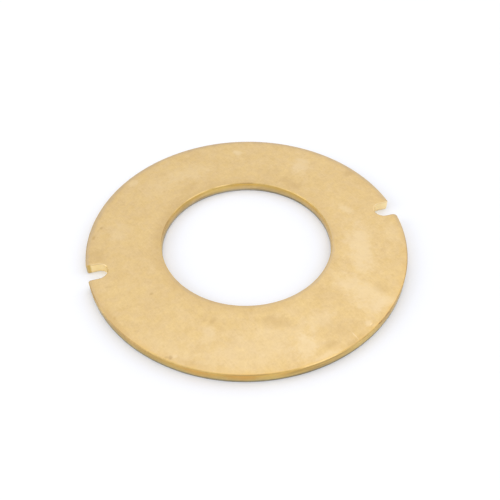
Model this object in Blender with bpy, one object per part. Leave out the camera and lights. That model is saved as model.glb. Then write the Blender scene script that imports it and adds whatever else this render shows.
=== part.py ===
"""A flat bronze thrust washer with two locating notches in its rim.

Metres, +Z up. The washer lies on its underside at Z = 0, its bore runs along Z
through the origin, and its notches open along +X (right) and -X (left).
Back means +Y and front means -Y.
"""

import math

import bmesh
import bpy
from mathutils import Matrix, Vector

# Ring
OUTER_DIAMETER = 0.09525
BORE_DIAMETER = 0.0508
THICKNESS = 0.003175
EDGE_BREAK = 0.00025

# Notches, milled straight in towards the bore by a cutter as wide as the notch
NOTCH_WIDTH = 0.0056
NOTCH_DEPTH = 0.0060

# Radius of each notch's two corners at the rim, eased by hand and by wear
RIGHT_FRONT_CORNER = 0.0012
RIGHT_BACK_CORNER = 0.0005
LEFT_FRONT_CORNER = 0.0007
LEFT_BACK_CORNER = 0.0004

# Fineness of the round walls, as the turn from one facet to the next
RIM_STEP = math.radians(2.0)
BORE_STEP = math.radians(2.5)
NOTCH_STEP = math.radians(15.0)
EDGE_BREAK_STEPS = 2

# Satin bronze, a pale gold, in linear colour
BRONZE_COLOUR = (0.76, 0.56, 0.28, 1.0)
BRONZE_ROUGHNESS = 0.38

QUARTER_TURN = math.pi / 2
AXIS = Vector((0.0, 0.0))


def arc(centre, radius, start, end, step):
    """Points along an arc from one angle to another, with both of its ends."""
    count = max(2, math.ceil(abs(end - start) / step))
    angles = [start + (end - start) * i / count for i in range(count + 1)]
    return [centre + radius * Vector((math.cos(a), math.sin(a))) for a in angles]


def direction(point):
    """The angle at which a point lies, seen from the washer's axis."""
    return math.atan2(point.y, point.x)


def corner_centre(corner_radius):
    """Centre of the corner that meets both the rim and a notch's upper wall smoothly."""
    height = NOTCH_WIDTH / 2 + corner_radius
    reach = OUTER_DIAMETER / 2 - corner_radius
    return Vector((math.sqrt(reach**2 - height**2), height))


def notch_outline(lower_corner, upper_corner):
    """A notch that opens along +X: rounded mouth, straight walls and a full-round end."""
    upper = corner_centre(upper_corner)
    lower = corner_centre(lower_corner)
    lower.y = -lower.y
    end = Vector((OUTER_DIAMETER / 2 - NOTCH_DEPTH + NOTCH_WIDTH / 2, 0.0))
    return (
        arc(lower, lower_corner, direction(lower), QUARTER_TURN, NOTCH_STEP)
        + arc(end, NOTCH_WIDTH / 2, 3 * QUARTER_TURN, QUARTER_TURN, NOTCH_STEP)
        + arc(upper, upper_corner, -QUARTER_TURN, direction(upper), NOTCH_STEP)
    )


def half_ring(lower_corner, upper_corner):
    """Outline of the half ring towards +X: up the rim past its notch, then down the bore."""
    notch = notch_outline(lower_corner, upper_corner)
    rim = OUTER_DIAMETER / 2
    rim_below = arc(AXIS, rim, -QUARTER_TURN, direction(notch[0]), RIM_STEP)
    rim_above = arc(AXIS, rim, direction(notch[-1]), QUARTER_TURN, RIM_STEP)
    bore = arc(AXIS, BORE_DIAMETER / 2, QUARTER_TURN, -QUARTER_TURN, BORE_STEP)
    return rim_below[:-1] + notch + rim_above[1:] + bore


def bronze():
    """Satin bearing bronze."""
    material = bpy.data.materials.new("bronze")
    material.use_nodes = True
    shader = material.node_tree.nodes["Principled BSDF"]
    shader.inputs["Base Color"].default_value = BRONZE_COLOUR
    shader.inputs["Metallic"].default_value = 1.0
    shader.inputs["Roughness"].default_value = BRONZE_ROUGHNESS
    material.diffuse_color = BRONZE_COLOUR
    return material


def blank(bm):
    """The flat washer with square edges: two half rings joined, raised to the thickness."""
    right = half_ring(RIGHT_FRONT_CORNER, RIGHT_BACK_CORNER)
    left = half_ring(LEFT_BACK_CORNER, LEFT_FRONT_CORNER)
    half_turn = Matrix.Rotation(math.pi, 2)
    for outline in (right, [half_turn @ point for point in left]):
        bm.faces.new([bm.verts.new((p.x, p.y, 0.0)) for p in outline])
    bmesh.ops.remove_doubles(bm, verts=bm.verts[:], dist=EDGE_BREAK / 100)
    raised = bmesh.ops.extrude_face_region(bm, geom=bm.faces[:])["geom"]
    top = [item for item in raised if isinstance(item, bmesh.types.BMVert)]
    bmesh.ops.translate(bm, verts=top, vec=(0.0, 0.0, THICKNESS))
    bmesh.ops.recalc_face_normals(bm, faces=bm.faces[:])


def break_edges(bm):
    """Round off every edge where a flat face meets a wall."""
    edges = [e for e in bm.edges if e.calc_face_angle(0.0) > QUARTER_TURN / 2]
    bmesh.ops.bevel(
        bm,
        geom=edges,
        offset=EDGE_BREAK,
        offset_type="OFFSET",
        segments=EDGE_BREAK_STEPS,
        profile=0.5,
        affect="EDGES",
    )


def thrust_washer():
    """The finished washer as one object."""
    bm = bmesh.new()
    blank(bm)
    break_edges(bm)
    mesh = bpy.data.meshes.new("thrust_washer")
    bm.to_mesh(mesh)
    bm.free()
    mesh.shade_smooth()
    mesh.set_sharp_from_angle(angle=math.radians(50.0))
    mesh.materials.append(bronze())
    washer = bpy.data.objects.new("thrust_washer", mesh)
    bpy.context.scene.collection.objects.link(washer)
    return washer


for old in list(bpy.data.objects):
    bpy.data.objects.remove(old, do_unlink=True)
thrust_washer()
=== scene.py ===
from math import hypot, pi, radians, sqrt

import bmesh
import bpy
from mathutils import Matrix, Vector


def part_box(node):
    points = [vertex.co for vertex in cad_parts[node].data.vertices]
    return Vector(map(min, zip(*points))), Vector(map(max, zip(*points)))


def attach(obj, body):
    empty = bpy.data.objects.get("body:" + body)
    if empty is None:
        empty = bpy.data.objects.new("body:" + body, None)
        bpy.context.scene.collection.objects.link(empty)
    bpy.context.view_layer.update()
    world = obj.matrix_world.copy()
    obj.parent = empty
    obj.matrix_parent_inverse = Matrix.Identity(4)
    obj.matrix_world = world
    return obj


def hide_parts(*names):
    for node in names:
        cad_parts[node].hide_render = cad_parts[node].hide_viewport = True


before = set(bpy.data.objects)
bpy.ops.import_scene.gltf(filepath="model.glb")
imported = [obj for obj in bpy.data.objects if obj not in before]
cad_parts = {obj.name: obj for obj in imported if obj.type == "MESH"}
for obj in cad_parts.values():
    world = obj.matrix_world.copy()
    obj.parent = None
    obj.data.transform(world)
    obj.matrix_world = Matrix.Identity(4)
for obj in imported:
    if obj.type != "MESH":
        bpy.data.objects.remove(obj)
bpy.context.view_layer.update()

# Camera.
# It looks down on the washer from the front and a little from the left, with a
# normal lens, so the back wall of the bore shows, and the front of the rim.
CAMERA_ORBIT = radians(-16.12)
CAMERA_HEIGHT_ANGLE = radians(46.70)
CAMERA_ROLL = radians(-0.60)
CAMERA_DISTANCE = 0.19663
CAMERA_AIM = (0.00104, -0.00118)
SENSOR = 36.0
IMAGE_SIZE = 500
FOCAL_LENGTH_PIXELS = 648.38
NEAREST_SEEN = 0.01
FURTHEST_SEEN = 20.0

camera = bpy.data.objects.new("camera", bpy.data.cameras.new("camera"))
bpy.context.scene.collection.objects.link(camera)
camera.data.sensor_width = SENSOR
camera.data.lens = SENSOR * FOCAL_LENGTH_PIXELS / IMAGE_SIZE
camera.data.clip_start = NEAREST_SEEN
camera.data.clip_end = FURTHEST_SEEN
camera_turn = (
    Matrix.Rotation(CAMERA_ORBIT, 4, "Z")
    @ Matrix.Rotation(pi / 2 - CAMERA_HEIGHT_ANGLE, 4, "X")
    @ Matrix.Rotation(CAMERA_ROLL, 4, "Z")
)
aim_and_distance = Vector((CAMERA_AIM[0], CAMERA_AIM[1], CAMERA_DISTANCE))
camera.matrix_world = Matrix.Translation(camera_turn @ aim_and_distance) @ camera_turn
bpy.context.scene.camera = camera

# Washer body.
# One piece of bearing bronze: turned outside and bored, two notches milled
# into the rim opposite each other, and every edge broken by hand.
low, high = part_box("thrust_washer")
THICKNESS = high.z - low.z
RIM_RADIUS = high.y
BORE_RADIUS = 0.0254
BORE_CUTTER_HEIGHT = 3 * THICKNESS
EDGE_BREAK = 0.00025
EDGE_SEGMENTS = 4
SHARP_TURN = pi / 4
ROUND_PROFILE = 0.5
RIM_VERTICES = 360
BORE_VERTICES = 288
NOTCH_WIDTH = 0.0056
NOTCH_DEPTH = 0.0060
CORNER_SEGMENTS = 8
END_SEGMENTS = 16
POINT_REACH = 0.00002
MERGE_REACH = POINT_REACH / 4
# Corners at the notch mouths: side of the washer, front or back, radius
MOUTH_CORNERS = (
    (1, -1, 0.0012),
    (1, 1, 0.0005),
    (-1, -1, 0.0007),
    (-1, 1, 0.0004),
)
# How far the rim is cleared beside each mouth to make room for its corner, in radii
MOUTH_CLEARANCE = 1.4


def pick(kind, test):
    """In edit mode, select just the vertices, edges or faces that pass a test."""
    bpy.ops.mesh.select_mode(type=kind)
    bpy.ops.mesh.select_all(action="DESELECT")
    shape = bmesh.from_edit_mesh(bpy.context.object.data)
    for item in {"VERT": shape.verts, "EDGE": shape.edges, "FACE": shape.faces}[kind]:
        item.select_set(bool(test(item)))
    bmesh.update_edit_mesh(bpy.context.object.data)


def pick_point(x, y):
    """Select just the vertex at one place in plan."""
    pick("VERT", lambda v: hypot(v.co.x - x, v.co.y - y) < POINT_REACH)


def draw_edge_to(x, y):
    """Draw a straight edge from the selected vertex to a place in plan."""
    shape = bmesh.from_edit_mesh(bpy.context.object.data)
    start = next(v.co.copy() for v in shape.verts if v.select)
    bpy.ops.mesh.extrude_region_move(
        TRANSFORM_OT_translate={"value": (x - start.x, y - start.y, 0.0)}
    )


def cut(piece, cutter):
    """Cut a solid away from a piece, and clear the cutter away."""
    bpy.ops.object.select_all(action="DESELECT")
    bpy.context.view_layer.objects.active = piece
    piece.select_set(True)
    boolean = piece.modifiers.new("cut", "BOOLEAN")
    boolean.object = cutter
    boolean.solver = "EXACT"
    bpy.ops.object.modifier_apply(modifier=boolean.name)
    bpy.data.objects.remove(cutter, do_unlink=True)


bpy.ops.object.select_all(action="DESELECT")
bpy.ops.mesh.primitive_circle_add(vertices=RIM_VERTICES, radius=RIM_RADIUS, fill_type="NOTHING")
washer = bpy.context.object
washer.name = washer.data.name = "washer_body"
mouth_x = sqrt(RIM_RADIUS**2 - (NOTCH_WIDTH / 2) ** 2)
end_x = RIM_RADIUS - NOTCH_DEPTH

bpy.ops.object.mode_set(mode="EDIT")
for side, facing, radius in MOUTH_CORNERS:
    reach = NOTCH_WIDTH / 2 + MOUTH_CLEARANCE * radius
    pick("VERT", lambda v: v.co.x * side > end_x and -POINT_REACH < v.co.y * facing < reach)
    bpy.ops.mesh.delete(type="VERT")
for side in (1, -1):
    for facing in (-1, 1):
        shape = bmesh.from_edit_mesh(washer.data)
        rim_end = min(
            (v.co for v in shape.verts if v.co.x * side > 0 and v.co.y * facing > 0),
            key=lambda co: abs(co.y),
        )
        pick_point(rim_end.x, rim_end.y)
        draw_edge_to(side * mouth_x, facing * NOTCH_WIDTH / 2)
        draw_edge_to(side * end_x, facing * NOTCH_WIDTH / 2)
    pick("VERT", lambda v: abs(v.co.x - side * end_x) < POINT_REACH and abs(v.co.y) < NOTCH_WIDTH)
    bpy.ops.mesh.edge_face_add()
bpy.ops.mesh.select_all(action="SELECT")
bpy.ops.mesh.edge_face_add()

for side, facing, radius in MOUTH_CORNERS:
    pick_point(side * mouth_x, facing * NOTCH_WIDTH / 2)
    bpy.ops.mesh.bevel(
        affect="VERTICES", offset=radius, segments=CORNER_SEGMENTS, profile=ROUND_PROFILE
    )
pick("VERT", lambda v: abs(abs(v.co.x) - end_x) < POINT_REACH and abs(v.co.y) < NOTCH_WIDTH)
bpy.ops.mesh.bevel(
    affect="VERTICES", offset=NOTCH_WIDTH / 2, segments=END_SEGMENTS, profile=ROUND_PROFILE
)
bpy.ops.mesh.select_all(action="SELECT")
bpy.ops.mesh.remove_doubles(threshold=MERGE_REACH)
bpy.ops.mesh.extrude_region_move(TRANSFORM_OT_translate={"value": (0.0, 0.0, THICKNESS)})
bpy.ops.mesh.select_all(action="SELECT")
bpy.ops.mesh.normals_make_consistent(inside=False)
bpy.ops.object.mode_set(mode="OBJECT")

bpy.ops.mesh.primitive_cylinder_add(
    vertices=BORE_VERTICES,
    radius=BORE_RADIUS,
    depth=BORE_CUTTER_HEIGHT,
    location=(0.0, 0.0, THICKNESS / 2),
)
cut(washer, bpy.context.object)

bpy.ops.object.mode_set(mode="EDIT")
pick("EDGE", lambda e: e.calc_face_angle(0.0) > SHARP_TURN)
bpy.ops.mesh.bevel(
    affect="EDGES",
    offset=EDGE_BREAK,
    segments=EDGE_SEGMENTS,
    profile=ROUND_PROFILE,
    clamp_overlap=False,
)
bpy.ops.object.mode_set(mode="OBJECT")

# Nicks and pits.
# Small dents from handling, each a shallow hollow knocked into the upper face
# or its outer edge.
DENT_SEGMENTS = 16
DENT_RINGS = 10
SMOOTH_UP_TO = radians(35.0)
FLAT_FACE_WEIGHT = 100
# Place, length, width and depth in millimetres, turn in degrees
DENTS = (
    (22.9, -40.2, 1.50, 0.65, 0.080, 35.0),
    (17.4, -42.6, 1.70, 0.26, 0.050, -72.0),
    (25.5, -40.0, 0.70, 0.50, 0.120, -57.0),
    (-31.2, -12.8, 0.55, 0.45, 0.050, 0.0),
    (-20.6, -18.6, 0.50, 0.40, 0.050, 20.0),
    (-30.5, -35.1, 0.70, 0.45, 0.060, 30.0),
    (-42.3, -18.2, 0.60, 0.45, 0.050, 60.0),
    (-43.9, 13.7, 0.80, 0.40, 0.060, 60.0),
    (-41.1, 17.3, 0.60, 0.40, 0.050, 40.0),
)


def metres(millimetres):
    """A length in the script's own units."""
    return millimetres / 1000


# Each dent is cut by a squashed ball of 1 mm radius. Its centre is one depth above
# the face and it is two depths from there to its foot, so where the face cuts it, it
# is sqrt(3) times as long and as wide as its scale says
dent_cutters = []
for x, y, length, width, depth, turn in DENTS:
    bpy.ops.mesh.primitive_uv_sphere_add(
        segments=DENT_SEGMENTS,
        ring_count=DENT_RINGS,
        radius=metres(1),
        location=(metres(x), metres(y), THICKNESS + metres(depth)),
        rotation=(0.0, 0.0, radians(turn)),
        scale=(length / sqrt(3), width / sqrt(3), 2 * depth),
    )
    dent_cutters.append(bpy.context.object)
for cutter in dent_cutters:
    cut(washer, cutter)

bpy.ops.object.shade_smooth_by_angle(angle=SMOOTH_UP_TO)
weighted = washer.modifiers.new("flat_faces", "WEIGHTED_NORMAL")
weighted.mode = "FACE_AREA"
weighted.weight = FLAT_FACE_WEIGHT
weighted.keep_sharp = True
bpy.ops.object.modifier_apply(modifier=weighted.name)

# Thrust faces.
# Lapped flat and left bare, so the bronze has clouded in store, with paler patches that
# are partly haze where it was wiped and partly painted sheen, a few darker stains, and
# some scrapes and pits.
FLOAT = "NodeSocketFloat"
COLOUR = "NodeSocketColor"
VECTOR = "NodeSocketVector"
SOFT = "SMOOTHSTEP"
# A Mix node's sockets for colours: the amount, the two colours and the result
MIX_AMOUNT = 0
MIX_FIRST = 6
MIX_SECOND = 7
MIX_RESULT = 2
# The middle of a noise, and what it seldom falls below or rises above
NOISE_MIDDLE = 0.5
NOISE_LOW = 0.38
NOISE_HIGH = 0.62


def node(tree, kind, inputs=None, **settings):
    """Add a node with its settings, and give its inputs values or other nodes' outputs."""
    new = tree.nodes.new(kind)
    for name, value in settings.items():
        setattr(new, name, value)
    for socket, source in (inputs or {}).items():
        if isinstance(source, bpy.types.NodeSocket):
            tree.links.new(source, new.inputs[socket])
        else:
            new.inputs[socket].default_value = source
    return new


def calculate(tree, operation, *values):
    """Work out a number from others, each a value or another node's output."""
    return node(tree, "ShaderNodeMath", dict(enumerate(values)), operation=operation).outputs[0]


def ramp(tree, value, start, end, low=0.0, high=1.0, curve="LINEAR"):
    """Turn a value's run from start to end into a run from low to high."""
    run = {"Value": value, "From Min": start, "From Max": end, "To Min": low, "To Max": high}
    return node(tree, "ShaderNodeMapRange", run, interpolation_type=curve).outputs[0]


def noise(tree, place, scale, detail, roughness=0.5, distortion=0.0):
    """Noise over the surface, between 0 and 1."""
    look = {"Scale": scale, "Detail": detail, "Roughness": roughness, "Distortion": distortion}
    return node(tree, "ShaderNodeTexNoise", {"Vector": place, **look}).outputs[0]


def blend(tree, amount, first, second, kind="MIX"):
    """Mix two colours by a mask or a number, and return the colour."""
    sources = {MIX_AMOUNT: amount, MIX_FIRST: first, MIX_SECOND: second}
    return node(
        tree, "ShaderNodeMix", sources, data_type="RGBA", blend_type=kind, clamp_factor=True
    ).outputs[MIX_RESULT]


def place_on_washer(tree):
    """Where each point of the surface lies, from the middle of the underside."""
    return node(tree, "ShaderNodeTexCoord").outputs["Object"]


def stretch(tree, place, scale):
    """Scale a place by its own number in each direction, to draw out a pattern on it."""
    return node(tree, "ShaderNodeMapping", {"Vector": place, "Scale": scale}).outputs[0]


def distance(tree, place):
    """How far a place is from zero."""
    return node(tree, "ShaderNodeVectorMath", {0: place}, operation="LENGTH").outputs["Value"]


def distance_from_axis(tree, place):
    """How far a place is from the washer's axis, at any height."""
    return distance(tree, stretch(tree, place, (1.0, 1.0, 0.0)))


def new_group(name, inputs, outputs):
    """Start a node group with named sockets: name, kind and default for each input."""
    group = bpy.data.node_groups.new(name, "ShaderNodeTree")
    for label, kind, default in inputs:
        socket = group.interface.new_socket(label, in_out="INPUT", socket_type=kind)
        socket.default_value = default
    for label, kind in outputs:
        group.interface.new_socket(label, in_out="OUTPUT", socket_type=kind)
    given = group.nodes.new("NodeGroupInput").outputs
    result = group.nodes.new("NodeGroupOutput").inputs
    return group, given, result


# A soft-edged mark at one place on the washer, its outline broken up by noise. It
# fades from its outline in to its core, which is a share of its size
MARK_OUTLINE = 1.0
MARK_CORE = 0.2
mark_group, given, result = new_group(
    "soft_mark",
    (
        ("Centre", VECTOR, (0.0, 0.0, 0.0)),
        ("Turn", VECTOR, (0.0, 0.0, 0.0)),
        ("Size", VECTOR, (0.005, 0.003, 1.0)),
        ("Ragged", FLOAT, 0.5),
        ("Strength", FLOAT, 1.0),
    ),
    (("Mask", FLOAT),),
)
place = place_on_washer(mark_group)
from_centre = node(
    mark_group, "ShaderNodeVectorMath", {0: place, 1: given["Centre"]}, operation="SUBTRACT"
).outputs[0]
turned = node(
    mark_group,
    "ShaderNodeVectorRotate",
    {"Vector": from_centre, "Rotation": given["Turn"]},
    rotation_type="EULER_XYZ",
).outputs[0]
scaled = node(
    mark_group, "ShaderNodeVectorMath", {0: turned, 1: given["Size"]}, operation="DIVIDE"
).outputs[0]
ragged_noise = noise(mark_group, place, scale=300.0, detail=6.0, roughness=0.7)
ragged = calculate(mark_group, "SUBTRACT", ragged_noise, NOISE_MIDDLE)
broken = calculate(
    mark_group, "MULTIPLY_ADD", ragged, given["Ragged"], distance(mark_group, scaled)
)
fade = ramp(mark_group, broken, MARK_OUTLINE, MARK_CORE, curve=SOFT)
mask = calculate(mark_group, "MULTIPLY", fade, given["Strength"])
mark_group.links.new(mask, result["Mask"])

# Clouded bronze: broad stains, smaller mottling, speckle, lapping lines and a fine
# satin grain, with a tint that wanders between cool and warm
COOL_TINT = (0.975, 0.98, 1.0, 1.0)
WARM_TINT = (1.0, 1.0, 0.94, 1.0)
COOL_UP_TO = 0.35
WARM_FROM = 0.65
FRESH_ROUGHNESS = 0.34
STAINED_ROUGHNESS = 0.46
STAINED_UP_TO = 0.2
FRESH_FROM = 0.8
LAPPING_DIRECTION = radians(-70.0)
LAPPING_STRETCH = (260.0, 2200.0, 300.0)
LAPPING_RELIEF = 0.6
clouds_group, given, result = new_group(
    "clouded_bronze",
    (
        ("Fresh", COLOUR, (0.78, 0.58, 0.28, 1.0)),
        ("Stained", COLOUR, (0.66, 0.47, 0.22, 1.0)),
        ("Clouds", FLOAT, 0.5),
        ("Mottle", FLOAT, 0.5),
        ("Speckle", FLOAT, 0.5),
        ("Lapping", FLOAT, 0.3),
        ("Grain", FLOAT, 0.3),
    ),
    (("Color", COLOUR), ("Roughness", FLOAT), ("Height", FLOAT)),
)
place = place_on_washer(clouds_group)
facing_laps = node(
    clouds_group, "ShaderNodeVectorRotate", {"Vector": place, "Angle": -LAPPING_DIRECTION}
).outputs[0]
along_laps = stretch(clouds_group, facing_laps, LAPPING_STRETCH)
clouds = noise(clouds_group, place, scale=105.0, detail=3.0, roughness=0.55, distortion=0.7)
mottle = noise(clouds_group, place, scale=460.0, detail=4.0, roughness=0.6, distortion=0.4)
speckle = noise(clouds_group, place, scale=1400.0, detail=2.0)
laps = noise(clouds_group, along_laps, scale=1.0, detail=3.0)
grain = noise(clouds_group, place, scale=3000.0, detail=2.0, roughness=0.6)
freshness = NOISE_MIDDLE
for layer, strength in (
    (clouds, "Clouds"),
    (mottle, "Mottle"),
    (speckle, "Speckle"),
    (laps, "Lapping"),
    (grain, "Grain"),
):
    swing = calculate(clouds_group, "SUBTRACT", layer, NOISE_MIDDLE)
    freshness = calculate(clouds_group, "MULTIPLY_ADD", swing, given[strength], freshness)
hue_noise = noise(clouds_group, place, scale=420.0, detail=4.0, distortion=0.5)
hue = ramp(clouds_group, hue_noise, COOL_UP_TO, WARM_FROM)
tint = blend(clouds_group, hue, COOL_TINT, WARM_TINT)
metal = blend(clouds_group, freshness, given["Stained"], given["Fresh"])
tinted = blend(clouds_group, 1.0, metal, tint, "MULTIPLY")
rough = ramp(
    clouds_group, freshness, STAINED_UP_TO, FRESH_FROM, STAINED_ROUGHNESS, FRESH_ROUGHNESS
)
relief = calculate(clouds_group, "MULTIPLY_ADD", laps, LAPPING_RELIEF, grain)
clouds_group.links.new(tinted, result["Color"])
clouds_group.links.new(rough, result["Roughness"])
clouds_group.links.new(relief, result["Height"])

RELIEF_DEPTH = 0.0001


def start_bronze(name, fresh, stained, layers):
    """Start a bronze material on the washer, with its clouded metal."""
    material = bpy.data.materials.new(name)
    material.use_nodes = True
    metal = node(material.node_tree, "ShaderNodeGroup", node_tree=clouds_group)
    for socket, value in zip(metal.inputs, (fresh, stained, *layers)):
        socket.default_value = value
    washer.data.materials.append(material)
    return material.node_tree, metal.outputs


def finish_bronze(tree, colour, roughness, height, relief):
    """Give a bronze material its colour, its roughness and its relief."""
    bump = node(
        tree, "ShaderNodeBump", {"Height": height, "Strength": relief, "Distance": RELIEF_DEPTH}
    )
    shader = tree.nodes["Principled BSDF"]
    shader.inputs["Metallic"].default_value = 1.0
    tree.links.new(colour, shader.inputs["Base Color"])
    tree.links.new(roughness, shader.inputs["Roughness"])
    tree.links.new(bump.outputs["Normal"], shader.inputs["Normal"])


FACE_FRESH = (0.858, 0.638, 0.333, 1.0)
FACE_STAINED = (0.697, 0.494, 0.2345, 1.0)
# How strong the clouds, the mottle, the speckle, the lapping and the grain are
FACE_LAYERS = (0.42, 0.75, 0.60, 0.40, 0.65)
FACE_RELIEF = 0.20
# Paler patches, partly haze and partly painted sheen
FACE_HAZE_AND_SHEEN = (0.885, 0.708, 0.450, 1.0)
FACE_DULL = (0.600, 0.410, 0.180, 1.0)
FACE_BARE = (0.980, 0.810, 0.560, 1.0)
FACE_PIT = (0.460, 0.320, 0.170, 1.0)
FACE_WARM = (0.800, 0.540, 0.200, 1.0)
# The painted shade of the thin margins round the rim and the bore
FACE_MARGIN_SHADE = (0.540, 0.430, 0.320, 1.0)

# Marks on the upper face: centre x and y, half length and half width in millimetres,
# turn in degrees, how ragged, how strong
HAZE_AND_SHEEN_MARKS = (
    (-9.0, -38.5, 24.0, 9.5, 4, 1.6, 0.26),
    (31.5, -13.0, 15.0, 6.0, 76, 1.8, 0.50),
    (25.0, -28.8, 14.0, 5.6, -57, 2.0, 0.44),
    (30.5, -33.5, 5.5, 3.0, -60, 1.6, 0.35),
    (42.6, -10.2, 6.5, 2.8, 77, 2.0, 0.22),
    (33.3, 3.5, 4.0, 1.9, -61, 1.6, 0.42),
    (3.8, -42.0, 6.6, 4.0, 74, 2.4, 0.44),
    (8.0, -46.0, 6.0, 1.6, 10, 1.4, 0.60),
    (-19.7, -31.2, 4.2, 2.8, 74, 2.4, 0.28),
    (25.0, -34.8, 5.0, 3.4, -40, 2.0, 0.30),
    (27.0, 27.3, 6.5, 4.0, 60, 2.0, 0.45),
    (-28.3, 35.4, 2.8, 2.0, 40, 1.6, 0.40),
    (-21.0, 30.5, 9.0, 5.0, 40, 2.0, 0.20),
    (-9.5, 35.0, 10.0, 5.0, 10, 2.2, 0.27),
    (8.6, 40.6, 2.8, 1.7, -40, 1.4, 0.55),
    (-36.5, 14.0, 6.0, 4.0, 70, 2.0, 0.25),
    (-31.0, -31.5, 13.0, 6.0, -42, 2.0, 0.20),
    (10.0, -34.5, 7.0, 4.0, 10, 2.0, 0.26),
    (-29.3, -35.0, 1.0, 0.7, 0, 1.2, 0.45),
)
DULL_MARKS = (
    (-18.7, -24.9, 4.4, 2.2, 16, 2.0, 0.18),
    (-17.1, -26.8, 2.4, 1.1, 26, 2.0, 0.42),
    (-1.0, -32.0, 7.0, 2.8, -30, 2.0, 0.38),
    (20.1, 21.2, 7.0, 3.0, -52, 2.0, 0.42),
    (40.8, 19.2, 3.0, 2.0, 30, 1.4, 0.50),
    (31.0, -29.5, 4.0, 2.8, -50, 2.2, 0.32),
    (15.5, -39.5, 9.0, 4.0, -20, 2.2, 0.18),
    (16.5, -28.0, 7.0, 4.0, -50, 2.0, 0.16),
    (16.2, 27.0, 6.0, 3.6, -35, 2.0, 0.24),
    (-11.5, 27.6, 6.0, 2.4, 22, 2.0, 0.24),
    (-26.0, -38.5, 8.0, 1.8, -34, 1.6, 0.24),
    (17.5, -43.8, 5.0, 1.6, 22, 1.6, 0.45),
    (10.8, -43.0, 3.2, 1.6, 12, 1.6, 0.45),
    (-43.4, 6.3, 4.6, 3.4, 80, 1.8, 0.35),
    (-42.4, -6.8, 1.0, 0.6, 0, 1.6, 0.30),
    (-43.2, -18.9, 10.0, 2.0, -66, 1.6, 0.45),
    (-43.9, 13.7, 1.2, 0.7, 60, 1.0, 0.80),
    (-41.1, 17.3, 0.9, 0.6, 40, 1.0, 0.70),
    (-31.2, -12.8, 0.8, 0.6, 0, 1.0, 0.60),
    (-42.3, -18.2, 0.9, 0.6, 60, 1.0, 0.60),
)
BARE_MARKS = (
    (22.3, -39.8, 1.7, 1.30, 35, 1.6, 0.38),
    (23.5, -41.0, 1.4, 1.10, 35, 1.6, 0.34),
    (17.3, -42.4, 2.2, 0.30, -73, 0.4, 0.38),
)
PIT_MARKS = (
    (-30.5, -35.0, 1.0, 0.8, 60, 1.4, 0.62),
    (-31.5, -34.7, 0.9, 0.6, 0, 1.4, 0.45),
)
# A mark on the upper face doesn't reach the underside
FACE_MARK_DEPTH = THICKNESS / 2


def add_marks(tree, colour, tint, marks, depth=FACE_MARK_DEPTH):
    """Lay one kind of mark over a colour, each at its place on the washer."""
    for x, y, length, width, turn, ragged, strength in marks:
        mark = node(
            tree,
            "ShaderNodeGroup",
            {
                "Centre": (metres(x), metres(y), THICKNESS),
                "Turn": (0.0, 0.0, radians(-turn)),
                "Size": (metres(length), metres(width), depth),
                "Ragged": ragged,
                "Strength": strength,
            },
            node_tree=mark_group,
        )
        colour = blend(tree, mark.outputs[0], colour, tint)
    return colour


tree, face = start_bronze("bronze_face", FACE_FRESH, FACE_STAINED, FACE_LAYERS)
colour = face["Color"]
for tint, marks in (
    (FACE_HAZE_AND_SHEEN, HAZE_AND_SHEEN_MARKS),
    (FACE_DULL, DULL_MARKS),
    (FACE_BARE, BARE_MARKS),
    (FACE_PIT, PIT_MARKS),
):
    colour = add_marks(tree, colour, tint, marks)
place = place_on_washer(tree)
radius = distance_from_axis(tree, place)
along = node(tree, "ShaderNodeSeparateXYZ", {"Vector": place}).outputs
patches = noise(tree, place, scale=260.0, detail=3.0)

# Along the rim the face is warmer in front and duller at the back
FRONT_Y = -0.030
MIDDLE_Y = 0.0
BACK_Y = 0.020
RIM_BAND_FROM = 0.0446
RIM_BAND_LEAST = 0.10
RIM_BAND_MOST = 0.45
towards_back = ramp(tree, along["Y"], FRONT_Y, MIDDLE_Y)
patchy = ramp(tree, patches, NOISE_LOW, NOISE_HIGH, RIM_BAND_LEAST, RIM_BAND_MOST)
rim_band = ramp(tree, radius, RIM_BAND_FROM, RIM_RADIUS, high=patchy, curve=SOFT)
rim_band_tint = blend(tree, towards_back, FACE_WARM, FACE_DULL)
colour = blend(tree, rim_band, colour, rim_band_tint)

# A thin margin runs round the rim, painted shade at the back and warm in front, and a
# margin of painted shade runs round the front of the bore
RIM_MARGIN_WIDTH = 0.0016
RIM_MARGIN_WIDTH_IN_FRONT = 0.0008
RIM_MARGIN_STRENGTH = 0.70
BORE_MARGIN_WIDTH = 0.0012
BORE_MARGIN_STRENGTH = 0.80
BORE_MARGIN_START_Y = 0.004
BORE_MARGIN_FULL_Y = -0.010
wobble = calculate(tree, "SUBTRACT", patches, NOISE_MIDDLE)
ragged_radius = calculate(tree, "MULTIPLY_ADD", wobble, BORE_MARGIN_WIDTH, radius)
rim_margin_start = ramp(
    tree,
    along["Y"],
    FRONT_Y,
    BACK_Y,
    RIM_RADIUS - RIM_MARGIN_WIDTH_IN_FRONT,
    RIM_RADIUS - RIM_MARGIN_WIDTH,
)
rim_margin_tint = blend(tree, towards_back, FACE_WARM, FACE_MARGIN_SHADE)
bore_margin_strength = ramp(
    tree, along["Y"], BORE_MARGIN_START_Y, BORE_MARGIN_FULL_Y, high=BORE_MARGIN_STRENGTH
)
for start, end, strength, tint in (
    (rim_margin_start, RIM_RADIUS, RIM_MARGIN_STRENGTH, rim_margin_tint),
    (BORE_RADIUS + BORE_MARGIN_WIDTH, BORE_RADIUS, bore_margin_strength, FACE_MARGIN_SHADE),
):
    margin = ramp(tree, ragged_radius, start, end, high=strength)
    colour = blend(tree, margin, colour, tint)

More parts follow.
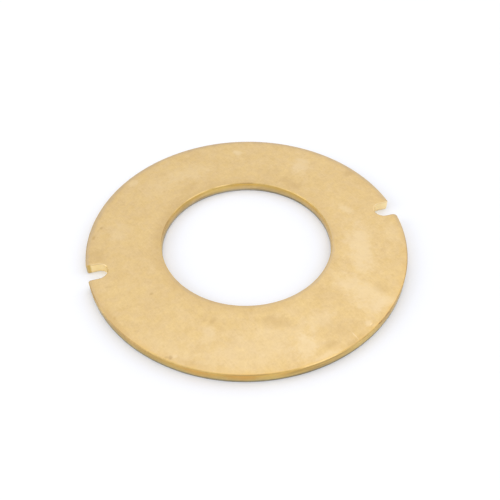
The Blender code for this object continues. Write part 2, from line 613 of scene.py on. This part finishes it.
# A dull stain wanders round the bore, strongest on the left
BORE_STAIN_WIDTH = 0.0045
BORE_STAIN_LEFT = 0.42
BORE_STAIN_RIGHT = 0.18
LEFT_X = -0.020
RIGHT_X = 0.020
wandering_radius = calculate(tree, "MULTIPLY_ADD", patches, -BORE_STAIN_WIDTH, radius)
bore_stain_strength = ramp(tree, along["X"], RIGHT_X, LEFT_X, BORE_STAIN_RIGHT, BORE_STAIN_LEFT)
bore_stain = ramp(
    tree,
    wandering_radius,
    BORE_RADIUS + BORE_STAIN_WIDTH / 2,
    BORE_RADIUS - BORE_STAIN_WIDTH / 2,
    high=bore_stain_strength,
    curve=SOFT,
)
colour = blend(tree, bore_stain, colour, FACE_DULL)
finish_bronze(tree, colour, face["Roughness"], face["Height"], FACE_RELIEF)

# Turned walls.
# The rim and the bore are left as turned, a deeper gold than the faces, with fine
# rings from the tool. Painted shade darkens their foot, and is paler in the bore.
# Painted shade at the foot of the walls, where they meet the floor: its colours, and the heights
# it fades over
RIM_FOOT_SHADE = (0.300, 0.270, 0.180, 1.0)
BORE_FOOT_SHADE = (0.450, 0.400, 0.310, 1.0)
DEEP_FOOT_SHADE = (0.220, 0.190, 0.120, 1.0)
FOOT_SHADE_TOP = 0.00105
FOOT_SHADE_FULL = 0.00030
FOOT_SHADE_SWING = 0.0004
# Darkens a colour towards the foot of a wall with painted shade
foot_shade_group, given, result = new_group(
    "seat_shade",
    (("Color", COLOUR, (0.7, 0.5, 0.2, 1.0)), ("Shade", COLOUR, RIM_FOOT_SHADE)),
    (("Color", COLOUR),),
)
place = place_on_washer(foot_shade_group)
height = node(foot_shade_group, "ShaderNodeSeparateXYZ", {"Vector": place}).outputs["Z"]
uneven = noise(foot_shade_group, place, scale=700.0, detail=3.0)
uneven_height = calculate(foot_shade_group, "MULTIPLY_ADD", uneven, -FOOT_SHADE_SWING, height)
foot_shade = ramp(
    foot_shade_group,
    uneven_height,
    FOOT_SHADE_TOP - FOOT_SHADE_SWING / 2,
    FOOT_SHADE_FULL - FOOT_SHADE_SWING / 2,
    curve=SOFT,
)
shaded = blend(foot_shade_group, foot_shade, given["Color"], given["Shade"])
foot_shade_group.links.new(shaded, result["Color"])

WALL_FRESH = (0.772, 0.547, 0.234, 1.0)
WALL_STAINED = (0.628, 0.423, 0.156, 1.0)
WALL_LAYERS = (0.8, 0.7, 0.5, 0.0, 0.4)
WALL_RELIEF = 0.4
# Painted reflection of the floor: low down the walls are tinted paler and cooler, towards the top
# a deeper gold
WALL_TINT_HIGH = (1.0, 0.930, 0.600, 1.0)
RIM_FLOOR_REFLECTION = (0.936, 1.0, 1.0, 1.0)
BORE_FLOOR_REFLECTION = (0.980, 1.060, 1.350, 1.0)
LOW_TINT_UP_TO = 0.0010
HIGH_TINT_FROM = 0.0026
STREAK_STRETCH = (70.0, 70.0, 1100.0)
STREAK_FROM = 0.52
STREAK_FULL = 0.68
STREAK_STRENGTH = 0.70
RING_STRETCH = (20.0, 20.0, 5000.0)
WALL_STREAK = (0.420, 0.270, 0.090, 1.0)
WALL_WARM = (0.700, 0.390, 0.095, 1.0)
WALL_BRIGHT = (0.840, 0.630, 0.210, 1.0)
WALL_STAIN = (0.460, 0.330, 0.112, 1.0)
# A mark this tall covers a wall from top to foot, and a warm one fades out on its way
# down. The rows are laid out as the faces' marks are
WALL_MARK_HEIGHT = 3 * THICKNESS
WARM_MARK_HEIGHT = 0.0036
WARM_WALL_MARKS = (
    (-14.5, -45.4, 5.5, 2.5, -18, 1.5, 0.70),
    (-25.0, -40.5, 6.0, 2.5, -32, 1.5, 0.60),
    (-4.0, -47.4, 2.5, 2.5, -5, 1.5, 0.50),
)
BRIGHT_WALL_MARKS = (
    (20.1, -43.2, 11.0, 3.0, 25, 1.0, 0.50),
    (-3.1, 25.2, 7.5, 2.5, 7, 1.0, 0.35),
    (-6.0, -47.2, 5.5, 2.5, -7, 1.2, 0.30),
)
WALL_STAIN_MARKS = (
    (-43.5, -19.4, 11.0, 4.0, -66, 1.0, 0.55),
    (-35.4, -31.9, 10.0, 4.0, -48, 1.0, 0.22),
    (39.0, -27.3, 12.0, 4.0, 55, 1.0, 0.45),
    (13.1, 21.7, 4.0, 2.5, -31, 1.0, 0.25),
    (18.9, 17.0, 9.0, 3.0, -48, 1.0, 0.28),
    (-13.9, 21.2, 3.6, 2.5, 33, 1.0, 0.30),
    (-23.3, 10.0, 8.0, 2.5, 67, 1.0, 0.32),
)
# A deeper painted shade at the foot of the bore's back wall, on the right
DEEP_FOOT_SHADE_MARKS = ((19.6, 16.4, 18.0, 8.0, -50, 0.5, 0.80),)

tree, wall = start_bronze("bronze_turned", WALL_FRESH, WALL_STAINED, WALL_LAYERS)
place = place_on_washer(tree)
radius = distance_from_axis(tree, place)
in_bore = ramp(tree, radius, RIM_RADIUS - EDGE_BREAK, BORE_RADIUS + EDGE_BREAK)
height = node(tree, "ShaderNodeSeparateXYZ", {"Vector": place}).outputs["Z"]
# Up each wall the tint runs from the painted reflection of the floor to the deeper gold
up_wall = ramp(tree, height, LOW_TINT_UP_TO, HIGH_TINT_FROM)
floor_reflection_tint = blend(tree, in_bore, RIM_FLOOR_REFLECTION, BORE_FLOOR_REFLECTION)
wall_tint = blend(tree, up_wall, floor_reflection_tint, WALL_TINT_HIGH)
colour = blend(tree, 1.0, wall["Color"], wall_tint, "MULTIPLY")
streak_noise = noise(tree, stretch(tree, place, STREAK_STRETCH), scale=1.0, detail=4.0)
streaks = ramp(tree, streak_noise, STREAK_FROM, STREAK_FULL, high=STREAK_STRENGTH)
colour = blend(tree, streaks, colour, WALL_STREAK)
for tint, marks, mark_height in (
    (WALL_WARM, WARM_WALL_MARKS, WARM_MARK_HEIGHT),
    (WALL_BRIGHT, BRIGHT_WALL_MARKS, WALL_MARK_HEIGHT),
    (WALL_STAIN, WALL_STAIN_MARKS, WALL_MARK_HEIGHT),
):
    colour = add_marks(tree, colour, tint, marks, mark_height)
foot_shade_tint = blend(tree, in_bore, RIM_FOOT_SHADE, BORE_FOOT_SHADE)
foot_shade_tint = add_marks(tree, foot_shade_tint, DEEP_FOOT_SHADE, DEEP_FOOT_SHADE_MARKS, WALL_MARK_HEIGHT)
shaded = node(
    tree, "ShaderNodeGroup", {"Color": colour, "Shade": foot_shade_tint}, node_tree=foot_shade_group
)
rings = noise(tree, stretch(tree, place, RING_STRETCH), scale=1.0, detail=3.0)
finish_bronze(tree, shaded.outputs[0], wall["Roughness"], rings, WALL_RELIEF)

# Notch walls.
# The cutter left them bright straw gold, with its fine lines running from face to
# face. The left notch turns a darker warm brown at its mouth.
MILLED_FRESH = (1.000, 0.840, 0.480, 1.0)
MILLED_STAINED = (1.000, 0.780, 0.420, 1.0)
MILLED_LAYERS = (0.4, 0.6, 0.3, 0.0, 0.4)
MILLED_RELIEF = 0.4
CUTTER_LINE_STRETCH = (4000.0, 4000.0, 60.0)
MILLED_EDGE = (0.740, 0.560, 0.310, 1.0)
MILLED_EDGE_DEPTH = 0.0005
NOTCH_WARM = (0.570, 0.360, 0.040, 1.0)
NOTCH_MOUTH_DARK = (0.400, 0.270, 0.110, 1.0)
MILLED_EDGE_MARKS = (
    (-44.5, 2.0, 7.0, 4.0, 0, 0.2, 0.80),
    (44.5, 2.0, 7.0, 4.0, 0, 0.2, 0.80),
)
NOTCH_WARM_MARKS = (
    (-46.7, 2.9, 0.80, 0.80, 0, 0.8, 0.75),
    (-41.7, 0.9, 0.60, 0.80, 0, 1.0, 0.35),
)
NOTCH_MOUTH_DARK_MARKS = ((-47.5, 3.0, 0.80, 0.80, 0, 0.8, 0.80),)

tree, milled = start_bronze("bronze_milled", MILLED_FRESH, MILLED_STAINED, MILLED_LAYERS)
colour = milled["Color"]
for tint, marks, mark_height in (
    (MILLED_EDGE, MILLED_EDGE_MARKS, MILLED_EDGE_DEPTH),
    (NOTCH_WARM, NOTCH_WARM_MARKS, WALL_MARK_HEIGHT),
    (NOTCH_MOUTH_DARK, NOTCH_MOUTH_DARK_MARKS, WALL_MARK_HEIGHT),
):
    colour = add_marks(tree, colour, tint, marks, mark_height)
cutter_lines = noise(
    tree, stretch(tree, place_on_washer(tree), CUTTER_LINE_STRETCH), scale=1.0, detail=2.0
)
finish_bronze(tree, colour, milled["Roughness"], cutter_lines, MILLED_RELIEF)

# Broken edges.
# Rounded over by hand, warm in front, and dark at the sides from nicks and painted shade.
# They are palest at the back of the bore, with painted highlights there and at the front
# right of the rim, and bright as the notch walls along the back of a notch.
EDGE_FRESH = (0.800, 0.570, 0.240, 1.0)
EDGE_STAINED = (0.540, 0.370, 0.140, 1.0)
EDGE_LAYERS = (0.9, 0.9, 0.6, 0.0, 0.6)
EDGE_RELIEF = 0.1
EDGE_WARM = (0.680, 0.440, 0.120, 1.0)
EDGE_HIGHLIGHT = (0.980, 0.720, 0.330, 1.0)
EDGE_DARK = (0.340, 0.190, 0.080, 1.0)
WARM_EDGE_MARKS = ((0.0, -47.0, 46.0, 24.0, 0, 1.0, 0.50),)
# Painted highlights where the edges catch the light, at the back of the bore and the front right
# of the rim
EDGE_HIGHLIGHT_MARKS = (
    (18.0, 18.3, 5.5, 2.0, -45, 1.0, 0.30),
    (-1.0, 25.5, 3.5, 1.5, 0, 1.0, 0.60),
    (-10.0, 23.6, 6.0, 2.0, 22, 1.2, 0.45),
    (6.0, -47.2, 9.0, 2.0, 8, 1.2, 0.80),
    (16.0, -44.8, 4.0, 2.0, 22, 1.2, 0.40),
)
# Dark marks: real at the nicks, and painted shade along the sides of the rim and the bore
DARK_EDGE_MARKS = (
    (25.5, -40.1, 1.3, 0.9, 33, 0.8, 0.85),
    (28.4, -38.1, 1.6, 0.8, 36, 1.2, 0.50),
    (6.8, 24.6, 4.0, 1.5, -15, 1.2, 0.45),
    (-22.5, 12.0, 9.0, 2.0, 62, 1.2, 0.50),
    (43.2, -20.1, 19.0, 4.0, 65, 1.0, 0.60),
    (31.0, -36.2, 15.0, 3.5, 41, 1.0, 0.50),
    (17.8, -44.2, 6.0, 2.0, 22, 1.0, 0.35),
    (-41.2, -23.8, 14.0, 2.5, -60, 1.0, 0.50),
    (-46.9, -8.3, 6.0, 2.0, -80, 1.0, 0.50),
    (-46.5, 10.5, 10.0, 2.0, 77, 1.0, 0.40),
    (-12.3, -46.0, 9.0, 2.0, -15, 1.2, 0.40),
    (-44.5, -2.6, 4.5, 1.0, 0, 0.8, 0.70),
    (44.5, -2.6, 4.5, 1.0, 0, 0.8, 0.60),
)

tree, edge = start_bronze("bronze_edge", EDGE_FRESH, EDGE_STAINED, EDGE_LAYERS)
colour = edge["Color"]
for tint, marks in (
    (EDGE_WARM, WARM_EDGE_MARKS),
    (EDGE_HIGHLIGHT, EDGE_HIGHLIGHT_MARKS),
    (EDGE_DARK, DARK_EDGE_MARKS),
):
    colour = add_marks(tree, colour, tint, marks)
# The lower rounded edges get the same painted shade at the foot
shaded = node(tree, "ShaderNodeGroup", {"Color": colour}, node_tree=foot_shade_group)
finish_bronze(tree, shaded.outputs[0], edge["Roughness"], edge["Height"], EDGE_RELIEF)

# Each face of the mesh gets its finish by how it leans and where it lies
FLAT = 0.985
UPRIGHT = 0.15
NOTCH_SIDES_FROM = BORE_RADIUS * 1.1
TURNED_SLOT = 1
MILLED_SLOT = 2
EDGE_SLOT = 3


def is_wall(f):
    """Whether a face stands upright, as the turned and the milled walls do."""
    return abs(f.normal.z) < UPRIGHT


def is_edge(f):
    """Whether a face is part of a rounded edge, and no dent in the flat."""
    at = f.calc_center_median()
    near_rim = min(RIM_RADIUS - hypot(at.x, at.y), hypot(at.x, at.y) - BORE_RADIUS) < EDGE_BREAK
    near_notch = abs(at.x) > end_x - EDGE_BREAK and abs(at.y) < NOTCH_WIDTH / 2 + EDGE_BREAK
    return UPRIGHT <= abs(f.normal.z) <= FLAT and (near_rim or near_notch)


def is_notch_edge(f):
    """Whether a face is part of a rounded edge along the back wall of a notch."""
    at = f.calc_center_median()
    inside = hypot(at.x, at.y) < RIM_RADIUS - EDGE_BREAK
    return is_edge(f) and inside and at.y > 0.0 and abs(at.x) > NOTCH_SIDES_FROM


def is_notch_wall(f):
    """Whether an upright face is inside a notch."""
    at = f.calc_center_median()
    beside = abs(at.x) > NOTCH_SIDES_FROM and abs(at.y) < NOTCH_WIDTH / 2 + EDGE_BREAK
    return is_wall(f) and beside


bpy.ops.object.mode_set(mode="EDIT")
for slot, test in (
    (TURNED_SLOT, is_wall),
    (MILLED_SLOT, is_notch_wall),
    (EDGE_SLOT, is_edge),
    (MILLED_SLOT, is_notch_edge),
):
    pick("FACE", test)
    washer.active_material_index = slot
    bpy.ops.object.material_slot_assign()
bpy.ops.object.mode_set(mode="OBJECT")

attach(washer, "root")
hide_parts("thrust_washer")

# Studio.
# A white paper floor that keeps the washer's soft shadow, a low softbox at either
# side, and a pale room, brighter overhead and to the right and white low down.
FLOOR_COLOUR = (0.89, 0.905, 0.955, 1.0)
FLOOR_SIZE = 6.0
bpy.ops.mesh.primitive_plane_add(size=FLOOR_SIZE, location=(0.0, 0.0, 0.0))
floor = bpy.context.object
floor.name = "floor"
floor_paper = bpy.data.materials.new("floor_paper")
floor_paper.use_nodes = True
shader = floor_paper.node_tree.nodes["Principled BSDF"]
shader.inputs["Base Color"].default_value = FLOOR_COLOUR
shader.inputs["Roughness"].default_value = 1.0
shader.inputs["Specular IOR Level"].default_value = 0.0
floor.data.materials.append(floor_paper)

ROOM_COLOUR = (1.0, 1.0, 1.0, 1.0)
ROOM_LEVEL = 0.79
ROOM_RIGHT = 0.19
ROOM_OVERHEAD = 0.57
ROOM_OVERHEAD_POWER = 3.0
ROOM_LOW_DOWN = 1.0
ROOM_LOW_DOWN_POWER = 6.0
world = bpy.data.worlds.new("studio")
bpy.context.scene.world = world
world.use_nodes = True
tree = world.node_tree
background = tree.nodes["Background"]
background.inputs["Color"].default_value = ROOM_COLOUR
looking = node(tree, "ShaderNodeTexCoord").outputs["Generated"]
along = node(tree, "ShaderNodeSeparateXYZ", {"Vector": looking}).outputs
to_right = calculate(tree, "MULTIPLY_ADD", along["X"], ROOM_RIGHT, ROOM_LEVEL)
upward = calculate(tree, "MAXIMUM", along["Z"], 0.0)
overhead = calculate(tree, "POWER", upward, ROOM_OVERHEAD_POWER)
room = calculate(tree, "MULTIPLY_ADD", overhead, ROOM_OVERHEAD, to_right)
downward = calculate(tree, "SUBTRACT", 1.0, upward)
low_down = calculate(tree, "POWER", downward, ROOM_LOW_DOWN_POWER)
strength = node(
    tree,
    "ShaderNodeMix",
    {"Factor": low_down, "A": room, "B": ROOM_LOW_DOWN},
    data_type="FLOAT",
).outputs[0]
tree.links.new(strength, background.inputs["Strength"])

SOFTBOX_SIZE = 0.6
# Name, place and power in watts
SOFTBOXES = (
    ("softbox_left", (-0.95, 0.05, 0.45), 2.6),
    ("softbox_right", (0.95, 0.05, 0.45), 1.0),
)
for name, place, power in SOFTBOXES:
    softbox = bpy.data.objects.new(name, bpy.data.lights.new(name, "AREA"))
    bpy.context.scene.collection.objects.link(softbox)
    softbox.data.shape = "SQUARE"
    softbox.data.size = SOFTBOX_SIZE
    softbox.data.energy = power
    softbox.location = place
    softbox.rotation_euler = (-Vector(place)).to_track_quat("-Z", "Y").to_euler()

bpy.context.scene.view_settings.view_transform = "Standard"
